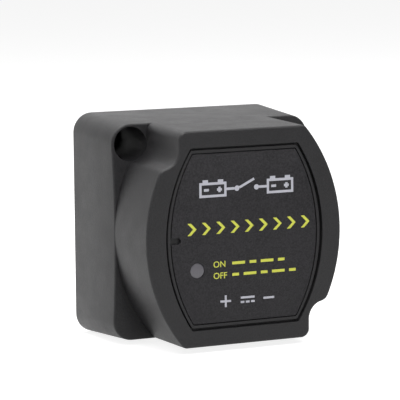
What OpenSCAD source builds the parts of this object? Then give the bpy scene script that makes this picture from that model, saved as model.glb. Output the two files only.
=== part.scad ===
// Battery isolator relay: a voltage-sensitive contactor in a square moulded case.
// Every piece is drawn in the case's own frame, with x to the right, y up and z from the
// wall towards the face, and upright() then stands it on its flat bottom, face to the front.
// The origin is the middle of the back plane, halfway between the two mounting holes.

/* [Case] */
// Width and height of the case at the wall
case_w = 68; // [67:0.5:76]
// Depth of the case from the wall to its face
case_depth = 50; // [49:0.5:60]
// Depth of the square base, from the wall to the shelf that faces forwards
base_depth = 26.8; // [26:0.2:30]
// How far each side leans in over the depth of the base
base_lean = 1.35; // [1:0.05:1.8]
// How much further in the left and right sides are waisted at the shelf
side_waist = 0.7; // [0.4:0.05:1]
// How far the top and bottom lean in from the shelf to the face
front_lean = 0.7; // [0.3:0.05:1]
// Radius of the base's corners
corner_r = 6; // [5:0.25:7]
// Radius of the bowed sides of the front section
bow_r = 48.7; // [46:0.1:54]
// Radius where a bowed side runs into the top or the bottom
crown_r = 2; // [1.5:0.1:3]
// Rounding along the edge of the face
face_round = 1.1; // [0.6:0.1:1.3]
// Thickness of the side walls
wall = 2.4; // [2:0.1:2.8]
// Thickness of the side walls at the open back
rim_wall = 2.8; // [2.4:0.1:3]
// Thickness of the wall behind the face
face_wall = 2.6; // [2.4:0.1:3.2]

/* [Mounting wells] */
// Distance of each mounting hole from the two nearest sides of the case
hole_edge = 7.4; // [7:0.1:8]
// Radius of the well that a screwdriver reaches down
well_r = 5.2; // [4.8:0.1:5.4]
// Radius of the screw hole in the floor of the well
hole_r = 2.7; // [2.1:0.1:3.2]
// Thickness of the well's floor
well_floor = 5; // [3:0.5:8]
// Radius of the rounding between a scallop and the bowed side
heel_r = 3; // [2:0.25:3.5]
// Slanted corner where the scallop runs out at the top
notch_cut = 1.9; // [1:0.1:2.4]

/* [Face panel] */
// Margin from the bowed side to the panel's recess
panel_margin = 6.4; // [5:0.1:8]
// Margin from the top and the bottom of the face to the panel's recess
panel_top = 5.25; // [4.4:0.05:9]
// Depth of the recess around the panel
panel_step = 0.5; // [0.3:0.05:0.8]
// Width of the band between the recess's edge and the panel
band_w = 1.1; // [0.8:0.1:2]
// Thickness of the panel
panel_t = 0.9; // [0.6:0.1:1]
// Rounding of the panel's corners
panel_round = 1.4; // [0.5:0.1:2]
// Width of the notch in the panel's left edge
pry_w = 1.9; // [1:0.1:3]
// Depth of that notch
pry_depth = 3; // [1:0.1:4]
// Radius of the status lens
lens_r = 2.2; // [1.5:0.1:2.6]
// Distance of the lens from the left side of the case
lens_edge = 18.5; // [17:0.5:21]
// Distance of the lens below the middle
lens_down = 9.2; // [6:0.2:10]

/* [Terminals] */
// Depth of the terminal bay behind the base plate, as a share of the case's depth
bay_share = 0.28; // [0.27:0.005:0.29]
// Distance of each terminal stud from the middle
stud_x = 12.5; // [12:0.1:13]
// Height of the terminal studs and the coil above the middle
stud_y = 4; // [2:0.5:5]
// Radius of the terminal studs
stud_r = 3; // [2.5:0.1:3.2]
// Distance of the studs' ends inside the back plane
stud_inset = 1.5; // [1:0.1:2.5]
// Width across the flats of the terminal nuts
nut_af = 10; // [9:0.5:10.5]
// Height of a terminal nut
nut_h = 5; // [4:0.25:5.5]
// Radius of a plain washer
washer_r = 6; // [5.5:0.1:6.5]
// Thickness of a plain washer
washer_t = 1.6; // [1:0.1:1.8]
// Width of each cable slot through the bottom wall
slot_w = 12.5; // [8:0.5:12.5]
// Depth of each cable slot from the open back
slot_depth = 11; // [9:0.5:12]
// Width of the earth tab's blade
tab_w = 6.3; // [4.8:0.1:6.3]
// Thickness of the earth tab
tab_t = 0.8; // [0.5:0.1:1]

/* [Contactor] */
// Gap between the open contacts
contact_gap = 1.8; // [1.2:0.1:2]
// Travel of the plunger, more than the gap so that the contact spring is pressed
plunger_travel = 2.4; // [1.6:0.1:2.6]
// Radius of the plunger
plunger_r = 5; // [4.5:0.1:5.5]
// Outer radius of the coil's winding
coil_r = 15.4; // [13:0.1:15.6]
// Thickness of the yoke's steel plates
yoke_t = 2; // [1.5:0.1:2.2]
// Radius of the push rod
rod_r = 1.5; // [1.2:0.05:1.6]
// Wire radius of the two springs
wire_r = 0.25; // [0.2:0.01:0.3]

/* [Circuit board] */
// Distance of the circuit board's ends from the sides of the case
board_edge = 12; // [11.5:0.25:12.5]
// Thickness of the circuit board
board_t = 1.6; // [1.2:0.1:1.8]
// Gap between the circuit board and the wall behind the face
board_gap = 3; // [2.8:0.1:3.6]

/* [Hidden] */

// Fineness of round surfaces, and the overrun of every cut
round_fn = 96;
small_fn = 48;
over = 1;
// Clearance of a piece in its seat, of a sliding fit, and of a pressed fit
seat_clear = 0.2;
slide_clear = 0.08;
press_clear = 0.02;
// Colours
black_plastic = [0.13, 0.13, 0.14];
panel_black = [0.1, 0.1, 0.11];
smoke_grey = [0.5, 0.49, 0.53];
brass = [0.78, 0.63, 0.32];
zinc = [0.72, 0.74, 0.77];
steel = [0.55, 0.56, 0.58];
copper = [0.72, 0.43, 0.25];
silver = [0.83, 0.84, 0.86];
nylon = [0.86, 0.83, 0.74];
rubber_black = [0.07, 0.07, 0.07];
board_green = [0.06, 0.3, 0.16];

// The case's outline at the wall, at the shelf and at the face
half = case_w/2;
hole_offset = half - hole_edge;
shelf_half = half - base_lean;
bow_clear = 0.1;
bow_half = shelf_half - side_waist - bow_clear;
bow_off = bow_r - bow_half;
face_half = shelf_half - front_lean;
panel_half_h = face_half - panel_top;
lens_left = half - lens_edge;
board_half_w = half - board_edge;
scallop_gap = 0.1;
scallop_r = well_r + scallop_gap;
notch_x = hole_offset - scallop_r;

// Depths, counted from the wall
bay_depth = case_depth*bay_share;
base_t_share = 0.07;
base_t = case_depth*base_t_share;
base_front = bay_depth + base_t;
seal_t = 1;
ledge_z = base_front + seal_t;
ledge_w = 1.8;
shelf_wall = wall;
room_z = base_depth - shelf_wall;
room_end = case_depth - face_wall;
panel_seat = case_depth - panel_step - panel_t;
board_front = room_end - board_gap;
board_back = board_front - board_t;

// The terminal bay
column_wall = 1.8;
column_r = well_r + column_wall;
inner_corner = 4.4;
recess_half = half - rim_wall;
chamber_half = recess_half - ledge_w;
tower_h = 1;
tower_wall = 2.5;
tower_r = stud_r + tower_wall;
tower_z = bay_depth - tower_h;
rib_t = 2;
rib_gap = 1;
spring_t = 1.6;
washer_z = tower_z - washer_t;
spring_z = washer_z - spring_t;
nut_z = spring_z - nut_h;
hole_play = 0.2;
tab_y = -20;
tab_back = 6;
strip_w = 4;
strip_t = 0.5;
strip_x = board_half_w - 1.7;

// The base plate's screws: two in the open corners, two beside the wells
boss_r = 3;
base_screw_r = 1.4;
base_screw_l = 7;
base_head_r = 2.6;
base_head_h = 1.8;
corner_boss = half - 9.5;
side_boss_x = half - 8.2;
side_boss_y = 10;
boss_places = [[corner_boss, corner_boss], [-corner_boss, -corner_boss],
    [-side_boss_x, side_boss_y], [side_boss_x, -side_boss_y]];

// The contactor's stack, from the base plate towards the face
head_t = 2;
head_w = 10;
head_z = base_front + strip_t;
tip_t = 0.5;
tip_r = 2.4;
fixed_face = head_z + head_t + tip_t;
bridge_tip_z = fixed_face + contact_gap;
bridge_z = bridge_tip_z + tip_t;
bridge_t = 1.5;
bridge_w = 9;
bridge_end = 1.2;
spring_share = 0.064;
contact_spring_l = case_depth*spring_share;
collar_t = 0.8;
collar_r = 3.4;
collar_z = bridge_z + bridge_t + contact_spring_l;
yoke_z = collar_z + collar_t;
bobbin_z = yoke_z + yoke_t;
yoke_clear = 1.2;
yoke_end = board_back - yoke_clear;
bobbin_end = yoke_end - yoke_t;
bobbin_wall = 1;
flange_t = 1;
flange_lip = 1;
flange_r = coil_r + flange_lip;
tube_r = plunger_r + slide_clear;
tube_outer = tube_r + bobbin_wall;
core_share = 0.1;
core_h = case_depth*core_share;
core_z = yoke_z + core_h;
plunger_z = core_z + plunger_travel;
plunger_nose = 0.5;
plunger_end = yoke_end + plunger_nose;
spring_seat = 2;
plunger_seat = 3;
spring_clear = 0.06;
rod_clear = 0.1;
spring_r = rod_r + rod_clear + wire_r*2;
seat_r = spring_r + wire_r*2 + rod_clear;
rod_nose = 1.2;
clip_t = 0.6;
clip_r = 3;
groove_depth = 0.4;
rod_z = bridge_z - clip_t - rod_nose;
yoke_half_w = 10.5;
yoke_side = flange_r + slide_clear*2;
post_x = 11;
post_y = 14;
post_r = 2.4;
peg_r = 1.4;
pin_r = 0.5;
pin_x = 13.2;
pin_drop = 6;
pin_stand = 0.8;
spring_turns = 6;
wire_sides = 6;
turn_steps = 14;

// The circuit board and its pieces
board_low = -25.5;
board_high = 17.5;
board_cut = 6;
lens_flange = 1;
lens_flange_t = 0.7;
led_gap = 0.3;
screw_places = [for (s = [-1, 1]) each [[s*(board_half_w - 3.5), 14], [s*(board_half_w - 7), -20]]];
board_boss_r = 2.6;
board_screw_r = 1.1;
board_screw_l = 3.8;
board_head_r = 2;
board_head_h = 1.2;

// Points along an arc, both ends included
function arc(c, r, a0, a1, n) =
    [for (k = [0:n]) c + r*[cos(a0 + (a1 - a0)*k/n), sin(a0 + (a1 - a0)*k/n)]];
function tail(list, from, to) = [for (k = [from:to]) list[k]];
function turned(list) = [for (p = list) -p];

// Steps along the stretches of the outline
bow_steps = 12;
crown_steps = 3;
scallop_steps = 10;
heel_steps = 3;
left_steps = 9;
slant = tan(22.5);

// Middle of the rounding between the right bow and the top
function crown_mid(i, top) = let (r = crown_r - i, y = top - crown_r)
    [-bow_off + sqrt(pow(bow_r - i - r, 2) - y*y), y];
// Middle of the rounding between the scallop and the left bow
function heel_mid() = let (bow = [bow_off, 0], well = [-hole_offset, hole_offset],
    p = bow_r - heel_r, q = scallop_r + heel_r, d = norm(well - bow), u = (well - bow)/d,
    a = (p*p - q*q + d*d)/(2*d)) bow + a*u + sqrt(p*p - a*a)*[-u[1], u[0]];

// Upper half of the front section's outline, from the right round to the left, moved in by i
function front_half(i, top) = let (crown = crown_mid(i, top), heel = heel_mid(),
    lean = atan2(crown[1], crown[0] + bow_off),
    in = atan2(heel[1] - hole_offset, heel[0] + hole_offset),
    out = atan2(heel[1], heel[0] - bow_off))
    concat(arc([-bow_off, 0], bow_r - i, 0, lean, bow_steps),
        tail(arc(crown, crown_r - i, lean, 90, crown_steps), 1, crown_steps),
        [[-notch_x + notch_cut + i*slant, top - i], [-notch_x + i, top - notch_cut - i*slant]],
        arc([-hole_offset, hole_offset], scallop_r + i, 0, in, scallop_steps),
        tail(arc(heel, heel_r - i, in + 180, out, heel_steps), 1, heel_steps),
        tail(arc([bow_off, 0], bow_r - i, out, 180, left_steps), 1, left_steps - 1));

function whole(half_outline) = concat(half_outline, turned(half_outline));
function raised(outline, z) = [for (p = outline) [p[0], p[1], z]];
function top_at(z) = shelf_half - front_lean*(z - base_depth)/(case_depth - base_depth);
function front_ring(i, z) = raised(whole(front_half(i, top_at(z))), z);

round_steps = 3;
ring_count = 2*len(front_half(0, shelf_half));

// The bowed front section, from just inside the base to the face, as one closed skin
module front_skin() {
    foot = raised(whole(front_half(0, shelf_half)), base_depth - 2*over);
    rings = concat([foot, front_ring(0, base_depth)], [for (k = [0:round_steps]) let (a = 90*k/round_steps)
        front_ring(face_round*(1 - cos(a)), case_depth - face_round*(1 - sin(a)))]);
    last = len(rings) - 1;
    sides = [for (r = [0:last - 1], k = [0:ring_count - 1])
        let (a = r*ring_count + k, b = r*ring_count + (k + 1)%ring_count, c = b + ring_count, d = a + ring_count)
        each [[a, c, b], [a, d, c]]];
    polyhedron(points = [for (r = rings) each r], faces = concat(sides,
        [[for (k = [0:ring_count - 1]) k]],
        [[for (k = [ring_count - 1:-1:0]) last*ring_count + k]]));
}

// The square base, leaning in from the wall to the shelf
module base_skin() linear_extrude(base_depth, scale = shelf_half/half) round_square(half, corner_r);

module upright() rotate([90, 0, 0]) children();

// A square with rounded corners, h from the middle to each side
module round_square(h, r) {
    square([2*(h - r), 2*h], center = true);
    square([2*h, 2*(h - r)], center = true);
    for (x = [-1, 1], y = [-1, 1]) translate([x*(h - r), y*(h - r)]) circle(r, $fn = small_fn);
}

// Both wells, as circles of one radius
module well_circles(r) {
    for (s = [-1, 1]) translate([s*hole_offset, -s*hole_offset]) circle(r, $fn = round_fn);
}

// The shape between the two bows, moved in by inset and cut off at half_h above and below
module bowed(inset, half_h) {
    intersection() {
        translate([-bow_off, 0]) circle(bow_r - inset, $fn = 2*round_fn);
        translate([bow_off, 0]) circle(bow_r - inset, $fn = 2*round_fn);
        square([case_w, 2*half_h], center = true);
    }
}

module recess_outline(gap) {
    difference() {
        round_square(recess_half - gap, inner_corner);
        well_circles(column_r + gap);
    }
}

module chamber_outline() {
    difference() {
        round_square(chamber_half, inner_corner);
        well_circles(column_r + ledge_w);
    }
}

// The room in the front section, with a wall left round each scallop
module room_outline() {
    difference() {
        bowed(wall, face_half - wall);
        well_circles(scallop_r + wall);
        for (s = [-1, 1]) rotate(90 - 90*s)
            translate([-notch_x + wall - case_w, hole_offset]) square(case_w);
    }
}

// The bosses that the base plate is screwed to, the side ones joined to the wall
module base_bosses() {
    top = room_z + over;
    web_w = boss_r*3/2;
    for (p = boss_places) translate([p[0], p[1], base_front]) cylinder(r = boss_r, h = top - base_front, $fn = small_fn);
    for (s = [-1, 1]) rotate(90 - 90*s)
        translate([-chamber_half - over, side_boss_y - web_w/2, ledge_z])
            cube([chamber_half + over - side_boss_x, web_w, top - ledge_z]);
}

// A U-shaped way through the bottom wall, w wide and d deep from the open back
module bottom_slot(x, w, d) {
    r = w/2;
    translate([x, -half - over, 0]) {
        translate([0, 0, d - r]) rotate([-90, 0, 0]) cylinder(r = r, h = half/2, $fn = small_fn);
        translate([-r, 0, -over]) cube([w, half/2, d - r + over]);
    }
}

earth_slot_w = 6;
earth_slot_d = 6.5;

// The moulded case: base, shelf, bowed front section, wells, scallops and inner walls
module housing() color(black_plastic) upright() {
    difference() {
        union() {
            hollow_case();
            base_bosses();
        }
        for (p = boss_places) translate([p[0], p[1], base_front - over])
            cylinder(r = base_screw_r + press_clear, h = base_screw_l - base_t + 2*over, $fn = small_fn);
        for (s = [-1, 1]) translate([s*hole_offset, -s*hole_offset, 0]) {
            translate([0, 0, well_floor])
                cylinder(r = well_r, h = base_depth - well_floor + over, $fn = round_fn);
            translate([0, 0, -over]) cylinder(r = hole_r, h = well_floor + 2*over, $fn = small_fn);
        }
        for (s = [-1, 1]) bottom_slot(s*stud_x, slot_w, slot_depth);
        bottom_slot(0, earth_slot_w, earth_slot_d);
    }
    board_bosses();
}

module hollow_case() difference() {
    union() {
        base_skin();
        front_skin();
    }
    translate([0, 0, -over]) linear_extrude(ledge_z + over) recess_outline(0);
    translate([0, 0, ledge_z - over]) linear_extrude(room_z - ledge_z + over) chamber_outline();
    translate([0, 0, room_z - over]) linear_extrude(room_end - room_z + over) room_outline();
    translate([0, 0, case_depth - panel_step]) linear_extrude(over) panel_outline(0);
    translate([0, 0, panel_seat]) linear_extrude(panel_t + over) panel_outline(band_w);
    translate([-lens_left, -lens_down, room_end - over])
        cylinder(r = lens_r + slide_clear, h = face_wall + over, $fn = small_fn);
}

// The panel's recess, moved in by inset, with rounded corners
module panel_outline(inset) {
    offset(r = panel_round, $fn = small_fn) offset(delta = -panel_round)
        bowed(panel_margin + inset, panel_half_h - inset);
}

// Board bosses stand on the wall behind the face
module board_bosses() {
    for (p = screw_places) translate([p[0], p[1], board_front]) difference() {
        cylinder(r = board_boss_r, h = board_gap + over/2, $fn = small_fn);
        translate([0, 0, -over])
            cylinder(r = board_screw_r + press_clear, h = board_gap + over, $fn = small_fn);
    }
}

// The panel set into the face, with a notch to lift it by
module face_plate() color(panel_black) upright() translate([0, 0, panel_seat]) difference() {
    linear_extrude(panel_t) difference() {
        offset(delta = -seat_clear) panel_outline(band_w);
        translate([-bow_half, -pry_w/2])
            square([panel_margin + band_w + seat_clear + pry_depth - pry_w/2, pry_w]);
        translate([-bow_half + panel_margin + band_w + seat_clear + pry_depth - pry_w/2, 0])
            circle(pry_w/2, $fn = small_fn);
    }
    translate([-lens_left, -lens_down, -over])
        cylinder(r = lens_r + slide_clear, h = panel_t + 2*over, $fn = small_fn);
}

// A light pipe with a flange behind the wall and a flat end in the panel
module status_lens() color(smoke_grey) upright() translate([-lens_left, -lens_down, 0]) {
    translate([0, 0, room_end - lens_flange_t])
        cylinder(r = lens_r + lens_flange, h = lens_flange_t, $fn = small_fn);
    translate([0, 0, room_end - lens_flange_t])
        cylinder(r = lens_r, h = case_depth - panel_step - room_end + lens_flange_t, $fn = small_fn);
}

// A pan-headed screw: the head's flat at z = 0, the head towards -z, a cross in its top
module pan_screw(r, l, head_r, head_h) {
    cross_share = 0.28;
    difference() {
        union() {
            cylinder(r = r, h = l, $fn = small_fn);
            translate([0, 0, -head_h]) cylinder(r1 = head_r - head_h/3, r2 = head_r, h = head_h, $fn = small_fn);
        }
        for (a = [0, 90]) rotate(a) translate([-head_r*cross_share*2, -head_r*cross_share/2, -head_h - over])
            cube([head_r*cross_share*4, head_r*cross_share, over + head_h/2]);
    }
}

module base_screws() color(zinc) upright()
    for (p = boss_places) translate([p[0], p[1], bay_depth])
        pan_screw(base_screw_r, base_screw_l, base_head_r, base_head_h);

module board_screws() color(zinc) upright()
    for (p = screw_places) translate([p[0], p[1], board_back])
        pan_screw(board_screw_r, board_t + board_gap - hole_play, board_head_r, board_head_h);

// Posts that carry the yoke, with pegs through its plate
module yoke_posts() {
    for (x = [-1, 1], y = [-1, 1]) translate([x*post_x, stud_y + y*post_y, bay_depth]) {
        cylinder(r = post_r, h = yoke_z - bay_depth, $fn = small_fn);
        cylinder(r = peg_r, h = bobbin_z - bay_depth, $fn = small_fn);
    }
}

// The plate that closes the case behind the contactor and carries it
module terminal_base() color(black_plastic) upright() difference() {
    union() {
        translate([0, 0, bay_depth]) linear_extrude(base_t) recess_outline(seat_clear);
        for (s = [-1, 1]) translate([s*stud_x, stud_y, tower_z])
            cylinder(r = tower_r, h = tower_h + over, $fn = round_fn);
        translate([-rib_t/2, tab_y + tab_w, rib_gap])
            cube([rib_t, recess_half - seat_clear - tab_y - tab_w, bay_depth - rib_gap + over]);
        yoke_posts();
    }
    for (s = [-1, 1]) translate([s*stud_x, stud_y, tower_z - over])
        cylinder(r = stud_r + press_clear, h = base_t + tower_h + 2*over, $fn = round_fn);
    for (p = boss_places) translate([p[0], p[1], bay_depth - over])
        cylinder(r = base_screw_r + hole_play, h = base_t + 2*over, $fn = small_fn);
    translate([-tab_w/4 - press_clear, tab_y - tab_t/2 - press_clear, bay_depth - over])
        cube([tab_w/2 + 2*press_clear, tab_t + 2*press_clear, base_t + 2*over]);
}

// A flat gasket between the base plate and the ledge in the case
module base_seal() color(rubber_black) upright() translate([0, 0, base_front]) linear_extrude(seal_t)
    difference() {
        recess_outline(seat_clear);
        difference() {
            round_square(chamber_half + seat_clear/2, inner_corner);
            well_circles(column_r + ledge_w - seat_clear/2);
        }
    }

// A terminal stud: square head inside, plain shank with a chamfered end in the bay
module terminal_stud(s) color(brass) upright() translate([s*stud_x, stud_y, 0]) {
    stud_chamfer = stud_r/5;
    translate([-head_w/2, -head_w/2, head_z]) cube([head_w, head_w, head_t]);
    rotate_extrude($fn = round_fn) polygon([[0, stud_inset], [stud_r - stud_chamfer, stud_inset],
        [stud_r, stud_inset + stud_chamfer], [stud_r, head_z + head_t/2], [0, head_z + head_t/2]]);
}

module ring(r, hole, t) {
    difference() {
        cylinder(r = r, h = t, $fn = round_fn);
        translate([0, 0, -over]) cylinder(r = hole, h = t + 2*over, $fn = round_fn);
    }
}

module terminal_washer(s) color(zinc) upright() translate([s*stud_x, stud_y, washer_z])
    ring(washer_r, stud_r + hole_play, washer_t);

// A split spring washer
module spring_washer(s) color(zinc) upright() translate([s*stud_x, stud_y, spring_z]) difference() {
    split = spring_t/2;
    ring(nut_af/2, stud_r + hole_play, spring_t);
    rotate(-30) translate([0, -split/2, -over]) cube([nut_af, split, spring_t + 2*over]);
}

// A hexagon nut with its corners turned off on both faces
module terminal_nut(s) color(zinc) upright() translate([s*stud_x, stud_y, nut_z]) difference() {
    corner = nut_af/sqrt(3);
    drop = (corner - nut_af/2)*tan(30);
    intersection() {
        cylinder(r = corner, h = nut_h, $fn = 6);
        rotate_extrude($fn = round_fn) polygon([[0, 0], [nut_af/2, 0], [corner, drop],
            [corner, nut_h - drop], [nut_af/2, nut_h], [0, nut_h]]);
    }
    translate([0, 0, -over]) cylinder(r = stud_r + press_clear, h = nut_h + 2*over, $fn = round_fn);
}

module fixed_contact(s) color(silver) upright()
    translate([s*stud_x, stud_y, head_z + head_t]) cylinder(r = tip_r, h = tip_t, $fn = small_fn);

// A strip from under the stud's head to the circuit board
module sense_strip(s) color(brass) upright() mirror([s < 0 ? 1 : 0, 0, 0]) difference() {
    union() {
        translate([stud_x, stud_y, base_front]) cylinder(r = head_w/2 - hole_play, h = strip_t, $fn = small_fn);
        translate([stud_x, stud_y - strip_w/2, base_front]) cube([strip_x - stud_x, strip_w, strip_t]);
        translate([strip_x - strip_t, stud_y - strip_w/2, base_front])
            cube([strip_t, strip_w, board_front + pin_stand - base_front]);
    }
    translate([stud_x, stud_y, base_front - over])
        cylinder(r = stud_r + hole_play, h = strip_t + 2*over, $fn = small_fn);
}

// The earth connection: a blade in the bay, and a narrow leg up to the circuit board
module earth_tab() color(brass) upright() translate([0, tab_y - tab_t/2, 0]) difference() {
    blade_tip = tab_w/6;
    eye = tab_w/8;
    rotate([-90, 0, 0]) mirror([0, 1, 0]) linear_extrude(tab_t) polygon([[-tab_w/2, bay_depth],
        [-tab_w/2, tab_back + blade_tip], [-tab_w/2 + blade_tip, tab_back],
        [tab_w/2 - blade_tip, tab_back], [tab_w/2, tab_back + blade_tip], [tab_w/2, bay_depth],
        [tab_w/4, bay_depth], [tab_w/4, board_front + pin_stand], [-tab_w/4, board_front + pin_stand],
        [-tab_w/4, bay_depth]]);
    translate([0, -over, tab_back + (bay_depth - tab_back)/2])
        rotate([-90, 0, 0]) cylinder(r = eye, h = tab_t + 2*over, $fn = small_fn);
}

// The circuit board, with its lower corners cut and holes for pins and strips
module circuit_board() color(board_green) upright() difference() {
    translate([0, 0, board_back]) linear_extrude(board_t) polygon([
        [-board_half_w, board_high], [-board_half_w, board_low + board_cut],
        [-board_half_w + board_cut, board_low], [board_half_w - board_cut, board_low],
        [board_half_w, board_low + board_cut], [board_half_w, board_high]]);
    for (p = screw_places) translate([p[0], p[1], board_back - over])
        cylinder(r = board_screw_r + hole_play, h = board_t + 2*over, $fn = small_fn);
    for (s = [-1, 1]) {
        translate([s*pin_x, stud_y - pin_drop, board_back - over])
            cylinder(r = pin_r + press_clear, h = board_t + 2*over, $fn = small_fn);
        translate([s*(strip_x - strip_t/2), stud_y, board_back + board_t/2])
            cube([strip_t + 2*press_clear, strip_w + 2*press_clear, board_t + 2*over], center = true);
    }
    translate([0, tab_y, board_back + board_t/2])
        cube([tab_w/2 + 2*press_clear, tab_t + 2*press_clear, board_t + 2*over], center = true);
}

// A small-outline chip on the board's front, with its legs bent down on both sides
chip_w = 4;
chip_l = 5;
chip_h = 1.4;
chip_at = [7, -11];
leg_pitch = 1.27;
leg_w = 0.4;
leg_out = 1;
leg_t = 0.2;
module control_chip() color(rubber_black) upright() translate([chip_at[0], chip_at[1], board_front]) {
    translate([-chip_w/2, -chip_l/2, leg_t]) cube([chip_w, chip_l, chip_h]);
    for (k = [-1.5:1.5]) {
        translate([-chip_w/2 - leg_out, k*leg_pitch - leg_w/2, 0]) cube([chip_w + 2*leg_out, leg_w, leg_t]);
    }
}

// A standing can on the board's back
can_r = 4;
can_h = 9;
can_at = [8.5, -20.6];
module smoothing_capacitor() color([0.15, 0.17, 0.25]) upright()
    translate([can_at[0], can_at[1], board_back - can_h]) rotate_extrude($fn = small_fn) {
        bead = can_r/12;
        polygon([[0, 0], [can_r - bead, 0], [can_r, bead], [can_r, can_h - 4*bead],
            [can_r - bead, can_h - 3*bead], [can_r, can_h - 2*bead], [can_r, can_h], [0, can_h]]);
    }

// A transistor lying on the board's back, with a thin metal tab and three legs
body_w = 6.4;
body_l = 6;
body_h = 2.2;
transistor_at = [-8, -20.3];
module driver_transistor() color(rubber_black) upright()
    translate([transistor_at[0], transistor_at[1], board_back - body_h]) {
        translate([-body_w/2, -body_l/2, 0]) cube([body_w, body_l, body_h - leg_t]);
        translate([-body_w/2 + leg_w, -body_l/2, body_h - leg_t]) cube([body_w - 2*leg_w, body_l + leg_out, leg_t]);
        for (k = [-1:1]) translate([k*leg_pitch*1.5 - leg_w, -body_l/2 - leg_out, body_h - leg_t])
            cube([2*leg_w, leg_out + leg_w, leg_t]);
    }

// A diode lying across the board's front, with a lead bent down at each end
diode_r = 1.1;
diode_l = 5;
lead_r = 0.35;
diode_at = [7, 9];
module axial(r, l, at, turn) translate([at[0], at[1], board_front + r]) rotate(turn) {
    reach = l/2 + r*1.5;
    rotate([0, 90, 0]) {
        translate([0, 0, -l/2]) cylinder(r = r, h = l, $fn = small_fn);
        translate([0, 0, -reach]) cylinder(r = lead_r, h = 2*reach, $fn = small_fn);
    }
    for (s = [-1, 1]) translate([s*reach, 0, -r]) cylinder(r = lead_r, h = r + lead_r, $fn = small_fn);
}
module flyback_diode() color(rubber_black) upright() axial(diode_r, diode_l, diode_at, 0);

resistor_r = 0.9;
resistor_l = 4.5;
resistor_step = 3;
resistor_at = [-6, 5];
module resistors() color([0.55, 0.7, 0.8]) upright()
    for (k = [0:3]) axial(resistor_r, resistor_l, resistor_at + [0, -k*resistor_step], 0);

// A lamp with a domed top on a square base, close under the light pipe
led_w = 3.2;
led_base = 0.8;
module status_led() color([0.8, 0.25, 0.2]) upright() translate([-lens_left, -lens_down, board_front]) {
    dome_r = led_w*3/8;
    stand = board_gap - lens_flange_t - led_gap - led_base - dome_r;
    translate([-led_w/2, -led_w/2, 0]) cube([led_w, led_w, led_base]);
    rotate_extrude($fn = small_fn) {
        square([dome_r, led_base + stand]);
        translate([0, led_base + stand]) intersection() {
            circle(dome_r, $fn = small_fn);
            square(dome_r);
        }
    }
}

// The bobbin: a tube with two flanges
module coil_bobbin() color(nylon) upright() translate([0, stud_y, 0]) difference() {
    rotate_extrude($fn = round_fn) polygon([[tube_r, bobbin_z], [flange_r, bobbin_z],
        [flange_r, bobbin_z + flange_t], [tube_outer, bobbin_z + flange_t],
        [tube_outer, bobbin_end - flange_t], [flange_r, bobbin_end - flange_t],
        [flange_r, bobbin_end], [tube_r, bobbin_end]]);
    for (s = [-1, 1]) translate([s*pin_x, -pin_drop, bobbin_end - flange_t - over])
        cylinder(r = pin_r + press_clear, h = flange_t + 2*over, $fn = small_fn);
}

// The winding, its outer layer showing as rounded turns
winding_turns = 12;
module coil_winding() color(copper) upright() translate([0, stud_y, 0])
    rotate_extrude($fn = round_fn) {
        z0 = bobbin_z + flange_t + press_clear;
        z1 = bobbin_end - flange_t - press_clear;
        turn_r = (z1 - z0)/winding_turns/2;
        r0 = tube_outer + press_clear;
        translate([r0, z0]) square([coil_r - turn_r - r0, z1 - z0]);
        for (k = [0:winding_turns - 1])
            translate([coil_r - turn_r, z0 + (2*k + 1)*turn_r]) circle(turn_r, $fn = small_fn);
    }

// Two pins from the bobbin's front flange through the circuit board
module coil_pins() color(zinc) upright() for (s = [-1, 1])
    translate([s*pin_x, stud_y - pin_drop, bobbin_end - flange_t])
        cylinder(r = pin_r, h = board_front + pin_stand - bobbin_end + flange_t, $fn = small_fn);

// The yoke: a back plate on the posts, bent up on two sides of the coil
module yoke_frame() color(steel) upright() translate([0, stud_y, 0]) difference() {
    union() {
        translate([-yoke_half_w - post_r, -yoke_side - yoke_t, yoke_z])
            cube([2*(yoke_half_w + post_r), 2*(yoke_side + yoke_t), yoke_t]);
        for (s = [-1, 1]) translate([-yoke_half_w, s > 0 ? yoke_side : -yoke_side - yoke_t, yoke_z])
            cube([2*yoke_half_w, yoke_t, bobbin_end - yoke_z]);
    }
    translate([0, 0, yoke_z - over]) cylinder(r = core_spigot + press_clear, h = yoke_t + 2*over, $fn = small_fn);
    for (x = [-1, 1], y = [-1, 1]) translate([x*post_x, y*post_y, yoke_z - over])
        cylinder(r = peg_r + press_clear, h = yoke_t + 2*over, $fn = small_fn);
}

// The plate across the yoke's open end, with the hole that the plunger slides through
module yoke_plate() color(steel) upright() translate([0, stud_y, bobbin_end]) difference() {
    translate([-yoke_half_w, -yoke_side - yoke_t, 0]) cube([2*yoke_half_w, 2*(yoke_side + yoke_t), yoke_t]);
    translate([0, 0, -over]) cylinder(r = tube_r, h = yoke_t + 2*over, $fn = round_fn);
}

// The fixed core: a spigot in the yoke, a seat for the return spring and a way for the rod
core_spigot = 4;
module fixed_core() color(steel) upright() translate([0, stud_y, 0]) difference() {
    union() {
        translate([0, 0, yoke_z]) cylinder(r = core_spigot, h = core_h, $fn = small_fn);
        translate([0, 0, bobbin_z]) cylinder(r = plunger_r, h = core_z - bobbin_z, $fn = round_fn);
    }
    translate([0, 0, yoke_z - over]) cylinder(r = rod_r + rod_clear, h = core_h + 2*over, $fn = small_fn);
    translate([0, 0, core_z - spring_seat]) cylinder(r = seat_r, h = spring_seat + over, $fn = small_fn);
}

// The plunger, pulled towards the core against the return spring
module plunger() color(steel) upright() translate([0, stud_y, 0]) difference() {
    edge = plunger_nose;
    rotate_extrude($fn = round_fn) polygon([[0, plunger_z], [plunger_r, plunger_z],
        [plunger_r, plunger_end - edge], [plunger_r - edge, plunger_end], [0, plunger_end]]);
    translate([0, 0, plunger_z - over]) cylinder(r = rod_r + press_clear, h = plunger_end - plunger_z - edge + over, $fn = small_fn);
    translate([0, 0, plunger_z - over]) cylinder(r = seat_r, h = plunger_seat + over, $fn = small_fn);
}

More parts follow.
